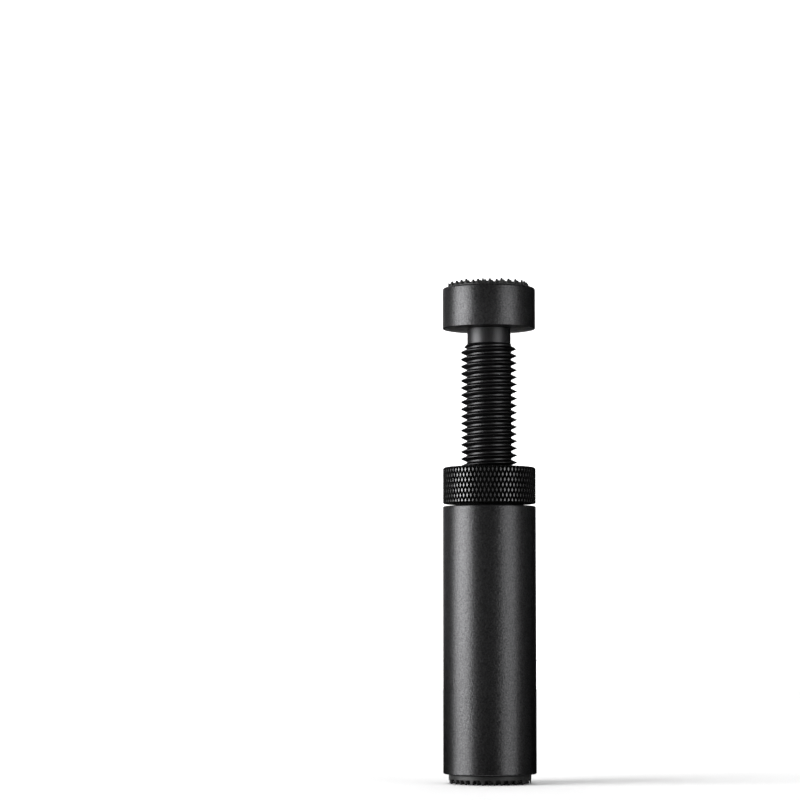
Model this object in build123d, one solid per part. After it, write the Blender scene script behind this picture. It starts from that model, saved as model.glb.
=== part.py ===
"""Adjustable support stand: a knurled ring nut drives a threaded post up and down in a plain tube.

Millimetres, +Z up. The origin is the middle of the foot, on the plane that the base pad stands on.
The model shows the post part way up. Turning the ring clockwise, seen from above, lifts the post.
"""
import math
import os

from build123d import *

# Tube: a turned bar, bored from the top and closed at the foot.
tube_diameter = 26.0
tube_length = 74.4
tube_floor = 7.8
tube_edge_break = 0.4
hub_seat_depth = 3.5

# Disc magnet in a pocket under the tube's floor.
magnet_diameter = 15.0
magnet_thickness = 3.0

# Rubber pads, alike at both ends.
pad_thickness = 2.7

# Knurled ring nut, as wide as the tube, which turns on a hub seated in the tube's mouth.
ring_height = 10.2
ring_gap = 0.7
ring_top_break = 0.7
ring_bottom_break = 0.4
hub_wall = 1.05
nut_thread_length = 5.0
knurl_diamond_width = 1.134
knurl_row_step = 1.43
knurl_depth = 0.35

# Threaded post: sharp V thread, a plain guide below it and a plain spigot above it.
bar_diameter = 15.8
thread_pitch = 2.0
thread_angle = 60.0
thread_start_drop = 0.7
thread_facets = 24
guide_length = 22.5
guide_edge_break = 1.0
relief_length = 2.0
neck_length = 4.2
spigot_grip = 7.0
spigot_undercut = 0.03
post_raise = 39.0
lift_reserve = 8.0

# Head: a turned cap on the spigot, as wide as the tube, with a shallow recess for the top pad.
head_height = 11.5
head_rim_wall = 1.35
head_recess_depth = 1.0
head_top_break = 0.5

# Clearances: each is a gap on the radius.
hub_clearance = 0.08
guide_clearance = 0.10
thread_clearance = 0.35
nut_relief_clearance = 0.55
spigot_clearance = 0.03
magnet_clearance = 0.10
pad_clearance = 0.15

# Levels, from the floor up.
tube_bottom = pad_thickness
tube_top = tube_bottom + tube_length
bore_floor = tube_bottom + tube_floor
hub_seat = tube_top - hub_seat_depth
ring_bottom = tube_top + ring_gap
ring_top = ring_bottom + ring_height
nut_thread_bottom = ring_top - nut_thread_length
head_bottom = ring_top + post_raise
head_top = head_bottom + head_height
pad_seat = head_top - head_recess_depth
thread_top = head_bottom - neck_length
thread_bottom = nut_thread_bottom - lift_reserve
guide_top = thread_bottom - relief_length
post_tail = guide_top - guide_length
post_top = head_bottom + spigot_grip

# Radii that two pieces share.
outer_radius = tube_diameter / 2
crest_radius = bar_diameter / 2
root_radius = crest_radius - thread_pitch / 2 / math.tan(math.radians(thread_angle / 2))
spigot_radius = root_radius * math.cos(math.pi / thread_facets) - spigot_undercut
nut_relief_radius = crest_radius + nut_relief_clearance
hub_radius = nut_relief_radius + hub_wall
recess_radius = outer_radius - head_rim_wall
pad_radius = recess_radius - pad_clearance


def turned(*outline):
    """Solid of revolution about Z, from (radius, height) points."""
    points = [(radius, 0, height) for radius, height in outline]
    return revolve(make_face(Polyline(*points, close=True)), Axis.Z)


def round_bar(radius, low, high):
    """Plain round bar between two levels."""
    return turned((0, low), (radius, low), (radius, high), (0, high))


def facet(*corners):
    """Flat face through its corners."""
    return Face(Wire.make_polygon(corners, close=True))


def v_thread(root, crest, low, high, faded):
    """Right-hand V thread cut off flat at two levels, in step with the post's thread.

    Two flanks run between a root helix and a crest helix, in flat facets. A plain core closes both ends
    outside the cuts. A faded thread's crest sinks into the root at 45 degrees towards each cut.
    """
    turns = math.ceil((high - low) / thread_pitch) + 3
    first_root = thread_top - thread_start_drop
    start = first_root - thread_pitch * (math.ceil((first_root - low) / thread_pitch) + 1)
    core_low = start - thread_pitch
    core_high = start + (turns + 2) * thread_pitch
    last_step = turns * thread_facets

    def height(step):
        return start + thread_pitch * step / thread_facets

    def around(radius, step, level):
        angle = 2 * math.pi * step / thread_facets
        return Vector(radius * math.cos(angle), radius * math.sin(angle), level)

    def root_point(step):
        return around(root, step, height(step))

    def crest_point(step):
        level = height(step + thread_facets / 2)
        to_cut = min(abs(level - low), abs(high - level))
        return around(min(crest, root + to_cut) if faded else crest, step, level)

    def at_level(point, level):
        return Vector(point.X, point.Y, level)

    faces = []
    for step in range(last_step):
        root_a, root_b = root_point(step), root_point(step + 1)
        crest_a, crest_b = crest_point(step), crest_point(step + 1)
        next_a, next_b = root_point(step + thread_facets), root_point(step + thread_facets + 1)
        faces += [facet(root_a, root_b, crest_b), facet(root_a, crest_b, crest_a)]
        faces += [facet(crest_a, crest_b, next_b), facet(crest_a, next_b, next_a)]
    for step in (0, last_step):
        faces.append(facet(root_point(step), crest_point(step), root_point(step + thread_facets)))
    for first_step, core_level in ((0, core_low), (last_step, core_high)):
        steps = range(first_step, first_step + thread_facets)
        faces.append(facet(*[at_level(root_point(step), core_level) for step in steps]))
        for step in steps:
            edge_a, edge_b = root_point(step), root_point(step + 1)
            faces.append(facet(at_level(edge_a, core_level), at_level(edge_b, core_level), edge_b, edge_a))
    return Solid(Shell(faces)) & round_bar(2 * crest, low, high)


def knurled_barrel():
    """Barrel with a diamond knurl: pyramids between crossing grooves, with both rims broken.

    Odd cells of the grid are pyramid tips and even cells are groove crossings.
    """
    tip = outer_radius
    columns = 2 * round(2 * math.pi * tip / knurl_diamond_width)
    rows = math.floor(ring_height / knurl_row_step)
    last_row = rows + 1
    first_level = ring_bottom + (ring_height - (rows - 1) * knurl_row_step) / 2

    def point(column, row):
        angle = math.radians(column * 360 / columns)
        level = first_level + (row - 1) * knurl_row_step
        radius = tip if (column + row) % 2 else tip - knurl_depth
        if row == 0:
            radius, level = tip - ring_bottom_break, ring_bottom
        if row == last_row:
            radius, level = tip - ring_top_break, ring_top
        return (radius * math.cos(angle), radius * math.sin(angle), level)

    faces = [facet(*[point(column, row) for column in range(columns)]) for row in (0, last_row)]
    for row in range(last_row + 1):
        for column in range((row + 1) % 2, columns, 2):
            centre, left, right = point(column, row), point(column - 1, row), point(column + 1, row)
            if row < last_row:
                above = point(column, row + 1)
                faces += [facet(centre, right, above), facet(centre, above, left)]
            if row > 0:
                below = point(column, row - 1)
                faces += [facet(centre, left, below), facet(centre, below, right)]
    return Solid(Shell(faces))


def tube():
    """Plain tube: guide bore, wider seat for the ring's hub, and the magnet's pocket below."""
    bore = crest_radius + guide_clearance
    seat = hub_radius + hub_clearance
    pocket = magnet_diameter / 2 + magnet_clearance
    pocket_top = tube_bottom + magnet_thickness
    return turned(
        (0, pocket_top),
        (pocket, pocket_top),
        (pocket, tube_bottom),
        (outer_radius - tube_edge_break, tube_bottom),
        (outer_radius, tube_bottom + tube_edge_break),
        (outer_radius, tube_top - tube_edge_break),
        (outer_radius - tube_edge_break, tube_top),
        (seat, tube_top),
        (seat, hub_seat),
        (bore, hub_seat),
        (bore, bore_floor),
        (0, bore_floor),
    )


def ring():
    """Ring nut: knurled barrel, plain hub below it, and a thread that keeps step with the post's."""
    nut_root = root_radius + thread_clearance
    nut_crest = crest_radius + thread_clearance
    tapped_hole = v_thread(nut_root, nut_crest, nut_thread_bottom, ring_top, faded=False)
    relief = round_bar(nut_relief_radius, hub_seat, nut_thread_bottom)
    hub = round_bar(hub_radius, hub_seat, ring_bottom)
    return knurled_barrel() + hub - relief - tapped_hole


def post():
    """Threaded post: guide, relief groove, V thread that fades out at both ends, and spigot."""
    lower = turned(
        (0, post_tail),
        (crest_radius - guide_edge_break, post_tail),
        (crest_radius, post_tail + guide_edge_break),
        (crest_radius, guide_top),
        (spigot_radius, guide_top),
        (spigot_radius, thread_bottom),
        (0, thread_bottom),
    )
    threaded = v_thread(root_radius, crest_radius, thread_bottom, thread_top, faded=True)
    return lower + threaded + round_bar(spigot_radius, thread_top, post_top)


def head():
    """Head cap: blind bore for the spigot below, recess for the top pad above."""
    bore = spigot_radius + spigot_clearance
    return turned(
        (0, post_top),
        (bore, post_top),
        (bore, head_bottom),
        (outer_radius, head_bottom),
        (outer_radius, head_top - head_top_break),
        (outer_radius - head_top_break, head_top),
        (recess_radius, head_top),
        (recess_radius, pad_seat),
        (0, pad_seat),
    )


pieces = {
    "body_tube": tube(),
    "base_magnet": round_bar(magnet_diameter / 2, tube_bottom, tube_bottom + magnet_thickness),
    "base_pad": round_bar(pad_radius, 0, pad_thickness),
    "adjusting_ring": ring(),
    "screw_post": post(),
    "head_cap": head(),
    "top_pad": round_bar(pad_radius, pad_seat, pad_seat + pad_thickness),
}

os.makedirs("parts", exist_ok=True)
for name, solid in pieces.items():
    export_step(solid, f"parts/{name}.step")
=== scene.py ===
import math

import bmesh
import bpy
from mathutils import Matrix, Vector


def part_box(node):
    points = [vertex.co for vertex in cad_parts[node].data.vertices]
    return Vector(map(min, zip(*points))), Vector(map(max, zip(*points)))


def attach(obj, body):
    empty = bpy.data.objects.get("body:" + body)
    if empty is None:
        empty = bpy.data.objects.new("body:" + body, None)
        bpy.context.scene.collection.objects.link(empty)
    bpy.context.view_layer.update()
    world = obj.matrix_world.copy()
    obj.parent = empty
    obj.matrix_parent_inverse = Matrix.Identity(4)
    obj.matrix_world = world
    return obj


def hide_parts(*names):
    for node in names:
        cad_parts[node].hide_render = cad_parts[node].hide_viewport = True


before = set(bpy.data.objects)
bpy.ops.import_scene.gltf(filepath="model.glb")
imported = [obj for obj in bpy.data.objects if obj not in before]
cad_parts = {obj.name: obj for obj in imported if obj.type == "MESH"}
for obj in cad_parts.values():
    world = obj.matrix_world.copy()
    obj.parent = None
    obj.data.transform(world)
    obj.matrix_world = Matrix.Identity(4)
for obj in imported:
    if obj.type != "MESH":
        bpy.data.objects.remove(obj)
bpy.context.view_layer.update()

# Tube: the body of the stand, a round aluminium bar turned to size, bored from the top for the post
# and closed at the foot. Its edges are broken with a file's touch, then it is bead-blasted all over
# and anodised black.
MM = 0.001
# An edge or face this near to a place is at that place, and points within a seam of each other are one.
NEAR = 0.02 * MM
SEAM = 0.001 * MM
TURNED_STEPS = 192
SMOOTH_ANGLE = math.radians(30)

tube_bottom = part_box("body_tube")[0].z
tube_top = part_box("body_tube")[1].z
outer_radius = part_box("body_tube")[1].x
bar_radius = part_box("screw_post")[1].x
guide_clearance = 0.1 * MM
bore_radius = bar_radius + guide_clearance
tube_floor = 7.8 * MM
bore_floor = tube_bottom + tube_floor
hub_radius = 9.5 * MM
hub_clearance = 0.08 * MM
hub_seat_radius = hub_radius + hub_clearance
hub_seat_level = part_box("adjusting_ring")[0].z
magnet_clearance = 0.1 * MM
pocket_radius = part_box("base_magnet")[1].x + magnet_clearance
pocket_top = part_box("base_magnet")[1].z
tube_edge = 0.4 * MM
mouth_edge = 0.25 * MM


def open_primitive(name, add, **settings):
    """Adds a primitive, selected alone and with its place in its mesh, and opens it for editing."""
    bpy.ops.object.select_all(action="DESELECT")
    add(**settings)
    piece = bpy.context.object
    piece.name = name
    bpy.ops.object.transform_apply(location=True, rotation=True, scale=True)
    bpy.ops.object.mode_set(mode="EDIT")
    bpy.ops.mesh.select_mode(type="VERT")
    bpy.ops.mesh.select_all(action="SELECT")
    return piece


def close(piece):
    """Ends the editing of a piece and leaves it as the only selected object."""
    bpy.ops.object.mode_set(mode="OBJECT")
    bpy.ops.object.select_all(action="DESELECT")
    bpy.context.view_layer.objects.active = piece
    piece.select_set(True)


def pick(kind, test):
    """Selects only those faces or edges of the open piece whose middle and corners pass the test."""
    mesh = bpy.context.object.data
    bpy.ops.mesh.select_mode(type={"faces": "FACE", "edges": "EDGE"}[kind])
    bpy.ops.mesh.select_all(action="DESELECT")
    edit = bmesh.from_edit_mesh(mesh)
    for element in getattr(edit, kind):
        corners = [corner.co for corner in element.verts]
        if test(sum(corners, Vector()) / len(corners), corners):
            element.select_set(True)
    bmesh.update_edit_mesh(mesh)


def draw(name, outline):
    """Places a vertex and extrudes it from point to point along an outline of (radius, height) pairs."""
    points = [Vector((radius, 0, height)) for radius, height in outline]
    piece = open_primitive(name, bpy.ops.mesh.primitive_plane_add, size=MM)
    bpy.ops.mesh.merge(type="CENTER")
    bpy.ops.transform.translate(value=points[0])
    for here, there in zip(points, points[1:]):
        bpy.ops.mesh.extrude_vertices_move(TRANSFORM_OT_translate={"value": there - here})
    return piece


def merge_all():
    """Merges the open piece's doubles, drops loose points and points its faces outwards."""
    bpy.ops.mesh.select_all(action="SELECT")
    bpy.ops.mesh.remove_doubles(threshold=SEAM)
    bpy.ops.mesh.delete_loose()
    bpy.ops.mesh.select_all(action="SELECT")
    bpy.ops.mesh.normals_make_consistent(inside=False)


def lathe(name, outline):
    """Turns a solid about the upright axis from an outline that starts and ends on it."""
    piece = draw(name, outline)
    bpy.ops.mesh.select_all(action="SELECT")
    bpy.ops.mesh.spin(steps=TURNED_STEPS, angle=math.tau, center=(0, 0, 0), axis=(0, 0, 1))
    merge_all()
    return piece


def round_edge(radius, height, size, segments=4):
    """Rounds the open piece's round edge at one radius and height."""
    pick("edges", lambda middle, _: abs(middle.z - height) < NEAR and abs(middle.xy.length - radius) < NEAR)
    bpy.ops.mesh.bevel(offset=size, segments=segments, affect="EDGES")


body_tube = lathe("tube_body", [
    (0, pocket_top),
    (pocket_radius, pocket_top),
    (pocket_radius, tube_bottom),
    (outer_radius, tube_bottom),
    (outer_radius, tube_top),
    (hub_seat_radius, tube_top),
    (hub_seat_radius, hub_seat_level),
    (bore_radius, hub_seat_level),
    (bore_radius, bore_floor),
    (0, bore_floor),
])
round_edge(outer_radius, tube_bottom, tube_edge)
round_edge(outer_radius, tube_top, tube_edge)
round_edge(hub_seat_radius, tube_top, mouth_edge)
close(body_tube)
bpy.ops.object.shade_smooth_by_angle(angle=SMOOTH_ANGLE)


def linear(hex_colour):
    """The linear colour, with alpha, that a shader takes for an sRGB hex value."""
    shares = [int(hex_colour[start:start + 2], 16) / 255 for start in (1, 3, 5)]
    return [
        share / 12.92 if share <= 0.04045 else ((share + 0.055) / 1.055) ** 2.4
        for share in shares
    ] + [1]


def add_node(tree, kind, inputs, **settings):
    """Adds a node, sets it, and fills its inputs with values or with links from other nodes' outputs."""
    node = tree.nodes.new(kind)
    for setting, value in settings.items():
        setattr(node, setting, value)
    for socket, value in inputs.items():
        if isinstance(value, bpy.types.NodeSocket):
            tree.links.new(value, node.inputs[socket])
        else:
            node.inputs[socket].default_value = value
    return node


def new_finish(name, **constants):
    """A material of one Principled shader with some constant inputs, and its node tree and shader."""
    material = bpy.data.materials.new(name)
    material.use_nodes = True
    shader = material.node_tree.nodes["Principled BSDF"]
    for socket, value in constants.items():
        shader.inputs[socket.replace("_", " ")].default_value = value
    return material, material.node_tree, shader


def add_grain(tree, shader, size, roughness, depth=0.0, detail=2.0):
    """Gives a finish a grain of that size, which varies its roughness and pits it that deep."""
    place = add_node(tree, "ShaderNodeTexCoord", {}).outputs["Object"]
    noise = add_node(tree, "ShaderNodeTexNoise", {"Vector": place, "Scale": 1 / size, "Detail": detail})
    grain = noise.outputs["Fac"]
    low, high = roughness
    rough = add_node(tree, "ShaderNodeMapRange", {"Value": grain, "To Min": low, "To Max": high})
    tree.links.new(rough.outputs["Result"], shader.inputs["Roughness"])
    if depth:
        pits = add_node(tree, "ShaderNodeBump", {"Height": grain, "Distance": depth})
        tree.links.new(pits.outputs["Normal"], shader.inputs["Normal"])
    return grain


# Black anodised aluminium, bead-blasted first: a dark metal that reflects little, darker still at its
# outline, with a broad silky highlight broken up by a fine sparkling grain. Real blast pits are about
# 0.08 mm across, too fine to show here, so the grain is drawn at 0.45 mm.
blast_grain = 0.45 * MM
blast_depth = 0.06 * MM
blasted, tree, shader = new_finish(
    "bead_blasted_black_anodised_aluminium",
    Metallic=1.0,
    Specular_Tint=linear("#9b9b9b"),
)
grain = add_grain(tree, shader, blast_grain, roughness=(0.28, 0.38), depth=blast_depth)
speck = add_node(tree, "ShaderNodeMapRange", {"Value": grain, "From Min": 0.25, "From Max": 0.75})
black = add_node(
    tree,
    "ShaderNodeMix",
    {"Factor": speck.outputs["Result"], "A": linear("#3a3a3b"), "B": linear("#5a5a5b")},
    data_type="RGBA",
)
tree.links.new(black.outputs["Result"], shader.inputs["Base Color"])

body_tube.data.materials.append(blasted)
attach(body_tube, "base")
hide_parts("body_tube")

# Magnet: a pressed and sintered disc, nickel plated, glued into the pocket under the tube's floor.
# The base pad hides it, and it keeps its own shape.
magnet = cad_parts["base_magnet"]
plating_ripple = 0.6 * MM

# Bright nickel plating over a sintered core: a warm grey mirror, a little cloudy.
nickel, tree, shader = new_finish("nickel_plating", Base_Color=linear("#b8b3a8"), Metallic=1.0)
add_grain(tree, shader, plating_ripple, roughness=(0.2, 0.32), detail=3.0)
magnet.data.materials.clear()
magnet.data.materials.append(nickel)

# Pads: two moulded rubber discs, alike, with a square field of blunt teeth on the outer face that is
# cut off at the rim where the disc was punched out. One is glued under the tube as its foot, and the
# other is pressed into the recess of the head.
pad_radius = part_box("base_pad")[1].x
pad_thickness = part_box("base_pad")[1].z
tooth_height = 1.35 * MM
tooth_pitch = 2.35 * MM
tooth_base = 1.05 * MM
tooth_tip = 0.35 * MM
teeth_across = 11
tooth_field_shift = (-0.88 * MM, 0.88 * MM, 0)
# The rotate operator turns the other way here: a negative turn is counter-clockwise, seen from above.
tooth_field_turn = math.radians(-33)
pad_edge = 0.35 * MM
field_width = teeth_across * tooth_pitch
punch_depth = 4 * pad_thickness


def combine(piece, tool, operation):
    """Joins, cuts or trims a piece with another one, which is then gone."""
    close(piece)
    fit = piece.modifiers.new("fit", "BOOLEAN")
    fit.object = tool
    fit.operation = operation
    fit.solver = "EXACT"
    bpy.ops.object.modifier_apply(modifier=fit.name)
    bpy.data.objects.remove(tool)


top_pad = open_primitive(
    "pad_on_head",
    bpy.ops.mesh.primitive_grid_add,
    x_subdivisions=teeth_across,
    y_subdivisions=teeth_across,
    size=field_width,
    location=(0, 0, pad_thickness - tooth_height),
)
bpy.ops.mesh.select_all(action="SELECT")
bpy.ops.mesh.inset(use_individual=True, thickness=(tooth_pitch - tooth_base) / 2)
bpy.ops.mesh.inset(use_individual=True, thickness=(tooth_base - tooth_tip) / 2, depth=tooth_height)
pick("edges", lambda middle, _: max(abs(middle.x), abs(middle.y)) > field_width / 2 - NEAR)
bpy.ops.mesh.extrude_region_move(TRANSFORM_OT_translate={"value": (0, 0, tooth_height - pad_thickness)})
bpy.ops.mesh.edge_face_add()
merge_all()
bpy.ops.transform.translate(value=tooth_field_shift)
close(top_pad)
punch = open_primitive(
    "punch",
    bpy.ops.mesh.primitive_cylinder_add,
    vertices=TURNED_STEPS,
    radius=pad_radius,
    depth=punch_depth,
)
combine(top_pad, punch, "INTERSECT")
bpy.ops.object.mode_set(mode="EDIT")
round_edge(pad_radius, 0, pad_edge)
close(top_pad)
bpy.ops.object.duplicate()
base_pad = bpy.context.object
base_pad.name = "pad_under_tube"

# Moulded black rubber: dark and soft-edged, with a faint blurred shine and a fine pebble from the mould.
pebble = 0.25 * MM
pebble_depth = 0.01 * MM
rubber, tree, shader = new_finish(
    "moulded_black_rubber",
    Base_Color=linear("#1c1c1c"),
    IOR=1.5,
)
add_grain(tree, shader, pebble, roughness=(0.4, 0.55), depth=pebble_depth, detail=3.0)

pad_places = (
    (top_pad, "top_pad", "post", 0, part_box("top_pad")[0].z),
    (base_pad, "base_pad", "base", math.pi, pad_thickness),
)
for pad, node, body, flip, level in pad_places:
    close(pad)
    bpy.ops.object.mode_set(mode="EDIT")
    bpy.ops.mesh.select_all(action="SELECT")
    bpy.ops.transform.rotate(value=flip, orient_axis="X", center_override=(0, 0, 0))
    bpy.ops.transform.rotate(value=tooth_field_turn, orient_axis="Z", center_override=(0, 0, 0))
    bpy.ops.transform.translate(value=(0, 0, level))
    close(pad)
    bpy.ops.object.shade_smooth_by_angle(angle=SMOOTH_ANGLE)
    pad.data.materials.append(rubber)
    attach(pad, body)
    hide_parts(node)

# Ring nut: turned aluminium with a rolled diamond knurl on its barrel, a plain hub below that runs in
# the tube's mouth, and a thread that drives the post. Both rims are rounded off after knurling.
ring_gap = 0.7 * MM
ring_bottom = tube_top + ring_gap
ring_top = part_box("adjusting_ring")[1].z
ring_top_edge = 0.7 * MM
ring_bottom_edge = 0.45 * MM
relief_clearance = 0.55 * MM
relief_radius = bar_radius + relief_clearance
nut_thread_length = 5.0 * MM
nut_thread_bottom = ring_top - nut_thread_length
countersink = 0.5 * MM
overcut = 1.0 * MM

pitch = 2.0 * MM
crest_drop = 0.06 * MM
thread_depth = 1.6 * MM
crest_radius = bar_radius - crest_drop
root_radius = crest_radius - thread_depth
# The level of one crest on the stand's right, which sets the turn of the post's thread and the nut's.
crest_at_right = 89.4 * MM
crest_flat = 0.12 * MM
root_flat = 0.4 * MM
thread_steps = 96
spare_turns = 4
nut_clearance = 0.35 * MM

knurl_columns = 72
knurl_row = 2.86 * MM
knurl_depth = 0.35 * MM
knurl_groove = 0.30 * MM
spare_rows = 2
top_row_below_rim = 1.1 * MM
land_depth = 0.1 * MM


def screw_thread(name, root, crest, low, high):
    """Right-hand V thread: the outline of one turn, wound up the axis and cut off square at both ends."""
    turns_below = math.ceil((crest_at_right - low) / pitch + 1)
    first_crest = crest_at_right - pitch * turns_below
    piece = draw(name, [
        (root, first_crest - pitch / 2),
        (root, first_crest - pitch / 2 + root_flat / 2),
        (crest, first_crest - crest_flat / 2),
        (crest, first_crest + crest_flat / 2),
        (root, first_crest + pitch / 2 - root_flat / 2),
        (root, first_crest + pitch / 2),
    ])
    close(piece)
    wind = piece.modifiers.new("wind", "SCREW")
    wind.axis = "Z"
    wind.angle = math.tau
    wind.screw_offset = pitch
    wind.iterations = math.ceil((high - low) / pitch) + spare_turns
    wind.steps = thread_steps
    wind.render_steps = thread_steps
    bpy.ops.object.modifier_apply(modifier=wind.name)
    bpy.ops.object.mode_set(mode="EDIT")
    merge_all()
    for level, clear_below in ((low, True), (high, False)):
        bpy.ops.mesh.select_all(action="SELECT")
        bpy.ops.mesh.bisect(
            plane_co=(0, 0, level),
            plane_no=(0, 0, 1),
            threshold=SEAM,
            use_fill=True,
            clear_inner=clear_below,
            clear_outer=not clear_below,
        )
    merge_all()
    close(piece)
    return piece


knurl_rows = math.ceil((ring_top - hub_seat_level) / knurl_row) + spare_rows
knurl_top = ring_top - top_row_below_rim + knurl_row
knurl_bottom = knurl_top - knurl_rows * knurl_row
# The knurl ends a hair inside the turned barrel, so that the two share no face when they are combined.
adjusting_ring = open_primitive(
    "knurled_ring",
    bpy.ops.mesh.primitive_circle_add,
    vertices=knurl_columns,
    radius=outer_radius - knurl_depth - NEAR,
    location=(0, 0, knurl_bottom),
)
bpy.ops.mesh.select_all(action="SELECT")
for _ in range(knurl_rows):
    bpy.ops.mesh.extrude_region_move(TRANSFORM_OT_translate={"value": (0, 0, knurl_row)})
bpy.ops.mesh.select_all(action="SELECT")
bpy.ops.mesh.poke()


def is_grid_line(middle, corners):
    """True on the level and upright edges of the knurl's first grid, apart from its two open rims."""
    on_rim = middle.z > knurl_top - NEAR or middle.z < knurl_bottom + NEAR
    level = abs(corners[0].z - corners[1].z) < NEAR
    upright = (corners[0].xy - corners[1].xy).length < NEAR
    return (level or upright) and not on_rim


pick("edges", is_grid_line)
bpy.ops.mesh.dissolve_edges(use_verts=False)
bpy.ops.mesh.select_all(action="SELECT")
bpy.ops.mesh.normals_make_consistent(inside=False)
bpy.ops.mesh.inset(use_individual=True, thickness=knurl_groove, depth=knurl_depth)
for rim_level in (knurl_top, knurl_bottom):
    pick("edges", lambda middle, _: abs(middle.z - rim_level) < NEAR)
    bpy.ops.mesh.edge_face_add()
merge_all()
close(adjusting_ring)

mouth = crest_radius + nut_clearance + countersink
countersink_bottom = ring_top - mouth + root_radius
turned_ring = lathe("turned_ring", [
    (0, nut_thread_bottom),
    (relief_radius, nut_thread_bottom),
    (relief_radius, hub_seat_level),
    (hub_radius, hub_seat_level),
    (hub_radius, ring_bottom),
    (outer_radius, ring_bottom),
    (outer_radius, ring_top),
    (mouth, ring_top),
    (root_radius, countersink_bottom),
    (0, countersink_bottom),
])
round_edge(outer_radius, ring_top, ring_top_edge, segments=6)
round_edge(outer_radius, ring_bottom, ring_bottom_edge)
close(turned_ring)
tap = screw_thread(
    "tap",
    root_radius + nut_clearance,
    crest_radius + nut_clearance,
    nut_thread_bottom - overcut,
    ring_top + overcut,
)
combine(turned_ring, tap, "DIFFERENCE")
combine(adjusting_ring, turned_ring, "INTERSECT")
bpy.ops.object.mode_set(mode="EDIT")
merge_all()
close(adjusting_ring)
bpy.ops.object.shade_smooth_by_angle(angle=SMOOTH_ANGLE)

# Black anodised aluminium burnished by the knurling wheels, on the flat tops of the diamonds: a smooth dark
# metal, lighter than the blasted tube, partly from the burnish and partly as a painted highlight for the
# rounded tops that the flat facets lack, and black towards its outline.
roll_mark = 0.12 * MM
roll_mark_depth = 0.004 * MM
burnished_and_painted_highlight, tree, shader = new_finish(
    "burnished_and_painted_highlight_black_anodised_aluminium",
    Base_Color=linear("#707071"),
    Metallic=1.0,
    Specular_Tint=linear("#000000"),
)
add_grain(tree, shader, roll_mark, roughness=(0.3, 0.38), depth=roll_mark_depth)

# Painted shade: black anodised aluminium made much darker and almost without shine in the knurl's grooves,
# on the rims and on the hub, where shade falls, so that the diamonds stand out and the joint above the
# tube reads as a black line.
painted_shade, tree, shader = new_finish(
    "painted_shade_black_anodised_aluminium",
    Base_Color=linear("#1c1c1c"),
    Metallic=1.0,
)
add_grain(tree, shader, roll_mark, roughness=(0.6, 0.7))

adjusting_ring.data.materials.clear()
adjusting_ring.data.materials.append(burnished_and_painted_highlight)
adjusting_ring.data.materials.append(painted_shade)
bpy.ops.object.mode_set(mode="EDIT")
# Every face that reaches below the flat tops gets the painted shade.
pick("faces", lambda _, corners: min(corner.xy.length for corner in corners) < outer_radius - land_depth)
adjusting_ring.active_material_index = 1
bpy.ops.object.material_slot_assign()
close(adjusting_ring)
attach(adjusting_ring, "ring")
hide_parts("adjusting_ring")

# Post: a turned aluminium bar with a sharp V thread cut along its middle and chamfered at both ends.
# Below the thread is a plain guide that slides in the tube, and above it is a spigot for the head.
post_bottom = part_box("screw_post")[0].z
post_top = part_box("screw_post")[1].z
head_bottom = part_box("head_cap")[0].z
neck_radius = 6.085 * MM
lift_reserve = 8.0 * MM
neck_length = 4.2 * MM
relief_length = 2.0 * MM
thread_bottom = nut_thread_bottom - lift_reserve
thread_top = head_bottom - neck_length
guide_top = thread_bottom - relief_length
guide_edge = 1.0 * MM

screw_post = screw_thread("screw_post_bar", root_radius, crest_radius, thread_bottom, thread_top)
chamfer_run = crest_radius + overcut - neck_radius
chamfered = lathe("chamfered", [
    (0, thread_bottom - overcut),
    (neck_radius - overcut, thread_bottom - overcut),
    (crest_radius + overcut, thread_bottom + chamfer_run),
    (crest_radius + overcut, thread_top - chamfer_run),
    (neck_radius - overcut, thread_top + overcut),
    (0, thread_top + overcut),
])
combine(screw_post, chamfered, "INTERSECT")
plain_ends = lathe("plain_ends", [
    (0, post_bottom),
    (crest_radius, post_bottom),
    (crest_radius, guide_top),
    (neck_radius, guide_top),
    (neck_radius, post_top),
    (0, post_top),
])
round_edge(crest_radius, post_bottom, guide_edge, segments=1)
combine(screw_post, plain_ends, "UNION")
bpy.ops.object.mode_set(mode="EDIT")
merge_all()
close(screw_post)
bpy.ops.object.shade_smooth_by_angle(angle=SMOOTH_ANGLE)

# Black anodised aluminium with a satin finish: the same dark metal as the tube, blasted more finely, so
# that its highlights are softer and run further round the thread. Its grain is drawn coarser here too.
satin_grain = 0.3 * MM
satin_depth = 0.02 * MM
satin, tree, shader = new_finish(
    "satin_black_anodised_aluminium",
    Base_Color=linear("#4a4a4b"),
    Metallic=1.0,
    Specular_Tint=linear("#9b9b9b"),
)
add_grain(tree, shader, satin_grain, roughness=(0.36, 0.46), depth=satin_depth)

screw_post.data.materials.clear()
screw_post.data.materials.append(satin)
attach(screw_post, "post")
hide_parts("screw_post")

# Head: a turned aluminium cap pressed on the post's spigot, with a shallow recess on top for the pad.
# It has the same blasted and anodised finish as the tube.
head_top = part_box("head_cap")[1].z
pad_clearance = 0.15 * MM
recess_radius = pad_radius + pad_clearance
recess_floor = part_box("top_pad")[0].z
spigot_clearance = 0.03 * MM
spigot_bore = neck_radius + spigot_clearance
head_top_edge = 0.5 * MM
head_bottom_edge = 0.2 * MM

head_cap = lathe("head_cap_turned", [
    (0, post_top),
    (spigot_bore, post_top),
    (spigot_bore, head_bottom),
    (outer_radius, head_bottom),
    (outer_radius, head_top),
    (recess_radius, head_top),
    (recess_radius, recess_floor),
    (0, recess_floor),
])
round_edge(outer_radius, head_top, head_top_edge)
round_edge(outer_radius, head_bottom, head_bottom_edge)
close(head_cap)
bpy.ops.object.shade_smooth_by_angle(angle=SMOOTH_ANGLE)
head_cap.data.materials.append(blasted)
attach(head_cap, "post")
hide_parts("head_cap")

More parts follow.
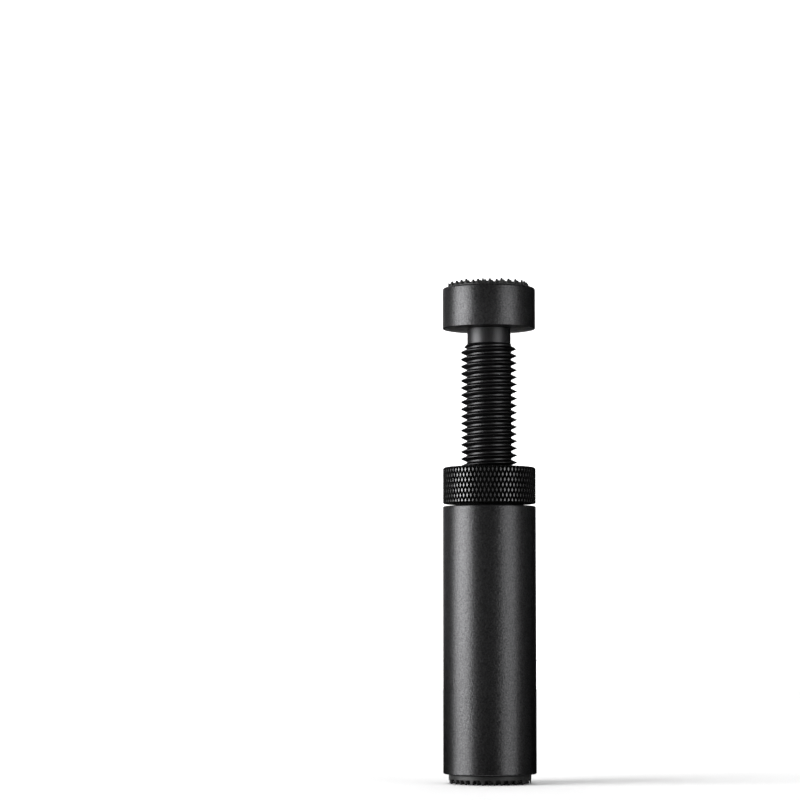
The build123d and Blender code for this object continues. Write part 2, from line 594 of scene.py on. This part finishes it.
# Floor and backdrop: a white studio. The stand's shadow falls on a sheet of matte white paper, and
# brighter paper on the floor round it and on a wall far behind stays white into the distance.
floor_size = 2.4
wall_distance = 3.0
wall_size = 8.0
far_floor_size = 40.0
far_floor_drop = 1.0 * MM
upright_turn = (math.radians(90), 0, 0)
paper_white = linear("#f8f8f8")
paper_roughness = 0.9
backdrop_glow = 0.62

floor = open_primitive("floor", bpy.ops.mesh.primitive_plane_add, size=floor_size)
close(floor)
floor_paper = new_finish("floor_paper", Base_Color=paper_white, Roughness=paper_roughness)[0]
floor.data.materials.append(floor_paper)

# The same matte paper with a little glow that only the camera, reflections and glass see: it looks white,
# in the metal too, and doesn't brighten the floor or the shadow.
bright_paper, tree, shader = new_finish(
    "backdrop_paper",
    Base_Color=paper_white,
    Roughness=paper_roughness,
    Emission_Color=linear("#ffffff"),
)
path = add_node(tree, "ShaderNodeLightPath", {}).outputs
seen = add_node(tree, "ShaderNodeMath", {0: path["Is Camera Ray"], 1: path["Is Glossy Ray"]})
also = add_node(tree, "ShaderNodeMath", {0: seen.outputs[0], 1: path["Is Transmission Ray"]})
lift = add_node(tree, "ShaderNodeMath", {0: also.outputs[0], 1: backdrop_glow}, operation="MULTIPLY")
tree.links.new(lift.outputs[0], shader.inputs["Emission Strength"])

wall = open_primitive(
    "backdrop",
    bpy.ops.mesh.primitive_plane_add,
    size=wall_size,
    location=(0, wall_distance, wall_size / 2),
    rotation=upright_turn,
)
close(wall)
far_floor = open_primitive(
    "far_floor",
    bpy.ops.mesh.primitive_plane_add,
    size=far_floor_size,
    location=(0, 0, -far_floor_drop),
)
close(far_floor)
for sheet in (wall, far_floor):
    sheet.data.materials.append(bright_paper)

# Boards: dark grey board and black velvet on the floor round the stand keep black metal dark between its
# highlights. Two glowing boards on top paint the strip lights' reflections down to the foot, and a flag of
# grey felt stands at the back on the right. Only reflections see them.
board_radius = 2.4
board_hole = 14.5 * MM
painted_reflection_hole = 10 * MM
painted_reflection_forward = 8 * MM
board_lift = 0.2 * MM
board_steps = 24
velvet_half_angle = 75
left_strip_azimuth = -74
left_strip_half_angle = 22
left_painted_glow_radiance = 2.2
right_strip_azimuth = 48
right_strip_half_angle = 18
right_painted_glow_radiance = 0.7


def show_in_reflections(board, azimuth, forward, finish):
    """Shows a board to reflections only, turned to an azimuth from the camera's side to the right."""
    close(board)
    board.rotation_euler.z = math.radians(azimuth)
    board.location.y = -forward
    bpy.ops.object.transform_apply(location=True, rotation=True, scale=False)
    board.data.materials.append(finish)
    board.visible_camera = False
    board.visible_diffuse = False
    board.visible_shadow = False


def floor_board(name, azimuth, half_angle, lift, hole, forward, finish):
    """Lays a sector of board on the floor round the stand, about a point that far in front of its axis."""
    board = draw(name, [(hole, lift), (board_radius, lift)])
    bpy.ops.mesh.select_all(action="SELECT")
    # A negative sweep spins counter-clockwise, seen from above.
    sweep = math.radians(-2 * half_angle)
    bpy.ops.mesh.spin(steps=board_steps, angle=sweep, center=(0, 0, 0), axis=(0, 0, 1))
    merge_all()
    show_in_reflections(board, azimuth - half_angle - 90, forward, finish)


# Matte board, velvet and felt: dark, with no shine of their own.
grey_board = new_finish("matte_grey_board", Base_Color=linear("#4a4a4a"), Roughness=1.0)[0]
black_velvet = new_finish("black_velvet", Base_Color=linear("#080808"), Roughness=1.0)[0]
grey_felt = new_finish("grey_felt", Base_Color=linear("#5c5c5c"), Roughness=1.0)[0]
floor_board("grey_board", 0, 180, board_lift, board_hole, 0, grey_board)
floor_board("back_velvet", 180, velvet_half_angle, 2 * board_lift, board_hole, 0, black_velvet)

# Painted reflection: each board glows at about a third of the strip light whose reflection it carries down.
painted_reflection_boards = (
    ("left", left_strip_azimuth, left_strip_half_angle, left_painted_glow_radiance),
    ("right", right_strip_azimuth, right_strip_half_angle, right_painted_glow_radiance),
)
for side, azimuth, half_angle, radiance in painted_reflection_boards:
    painted_glow = new_finish(
        f"{side}_foil",
        Base_Color=linear("#d8d8d8"),
        Emission_Color=linear("#ffffff"),
        Emission_Strength=radiance,
    )[0]
    name = f"{side}_painted_reflection_board"
    floor_board(name, azimuth, half_angle, 3 * board_lift, painted_reflection_hole, painted_reflection_forward, painted_glow)

flag_azimuth = 127
flag_distance = 1.5
flag_width = 2.7
flag_height = 1.5
flag = open_primitive(
    "flag",
    bpy.ops.mesh.primitive_plane_add,
    size=flag_height,
    location=(0, -flag_distance, flag_height / 2),
    rotation=upright_turn,
)
bpy.ops.transform.resize(value=(flag_width / flag_height, 1, 1), center_override=(0, 0, 0))
show_in_reflections(flag, flag_azimuth, 0, grey_felt)

# Lamps: two long strip lights that stand on the floor, a bright one on the left and a dimmer one on the
# right, draw the upright highlights. A high lamp on the left throws the stand's short shadow, and an
# overhead softbox and a plain grey room fill it in.
strip_distance = 2.5
strip_height = 1.2
left_strip_radiance = 6.1
right_strip_radiance = 1.95
high_lamp_strength = 1.15
high_lamp_spread = math.radians(24)
high_lamp_tilt = math.radians(28)
high_lamp_turn = math.radians(-67)
overhead_height = 2.5
overhead_size = 7.0
overhead_radiance = 0.7


def strip_light(name, azimuth, half_angle, radiance):
    """A strip light that faces the stand; its azimuth is counted from the camera's side to the right."""
    around = math.radians(azimuth)
    way = Vector((math.sin(around), -math.cos(around), 0))
    width = 2 * strip_distance * math.tan(math.radians(half_angle))
    lamp = bpy.data.lights.new(name, "AREA")
    lamp.shape = "RECTANGLE"
    lamp.size = width
    lamp.size_y = strip_height
    lamp.energy = radiance * math.pi * width * strip_height
    strip = bpy.data.objects.new(name, lamp)
    strip.location = way * strip_distance + Vector((0, 0, strip_height / 2))
    strip.rotation_euler = way.to_track_quat("Z", "Y").to_euler()
    strip.visible_camera = False
    bpy.context.scene.collection.objects.link(strip)


strip_light("left_strip", left_strip_azimuth, left_strip_half_angle, left_strip_radiance)
strip_light("right_strip", right_strip_azimuth, right_strip_half_angle, right_strip_radiance)

high_lamp = bpy.data.objects.new("high_lamp", bpy.data.lights.new("high_lamp", "SUN"))
high_lamp.data.energy = high_lamp_strength
high_lamp.data.angle = high_lamp_spread
high_lamp.rotation_euler = (high_lamp_tilt, 0, high_lamp_turn)
high_lamp.visible_glossy = False
bpy.context.scene.collection.objects.link(high_lamp)

overhead = bpy.data.objects.new("overhead_softbox", bpy.data.lights.new("overhead_softbox", "AREA"))
overhead.data.size = overhead_size
overhead.data.energy = overhead_radiance * math.pi * overhead_size ** 2
overhead.location = (0, 0, overhead_height)
overhead.visible_glossy = False
overhead.visible_camera = False
bpy.context.scene.collection.objects.link(overhead)

world = bpy.data.worlds.new("studio")
world.use_nodes = True
world.node_tree.nodes["Background"].inputs["Color"].default_value = linear("#616161")
bpy.context.scene.world = world

# Camera: a long lens, low down and a little to the left of the stand, tipped slightly up.
camera_place = (-0.02504, -0.797, 0.0433)
camera_tilt = math.radians(94.57)
camera = bpy.data.objects.new("camera", bpy.data.cameras.new("camera"))
camera.data.lens = 128
camera.data.sensor_width = 36
camera.data.clip_start = 0.01
camera.location = camera_place
camera.rotation_euler = (camera_tilt, 0, 0)
bpy.context.scene.collection.objects.link(camera)
bpy.context.scene.camera = camera
bpy.context.scene.view_settings.view_transform = "Standard"
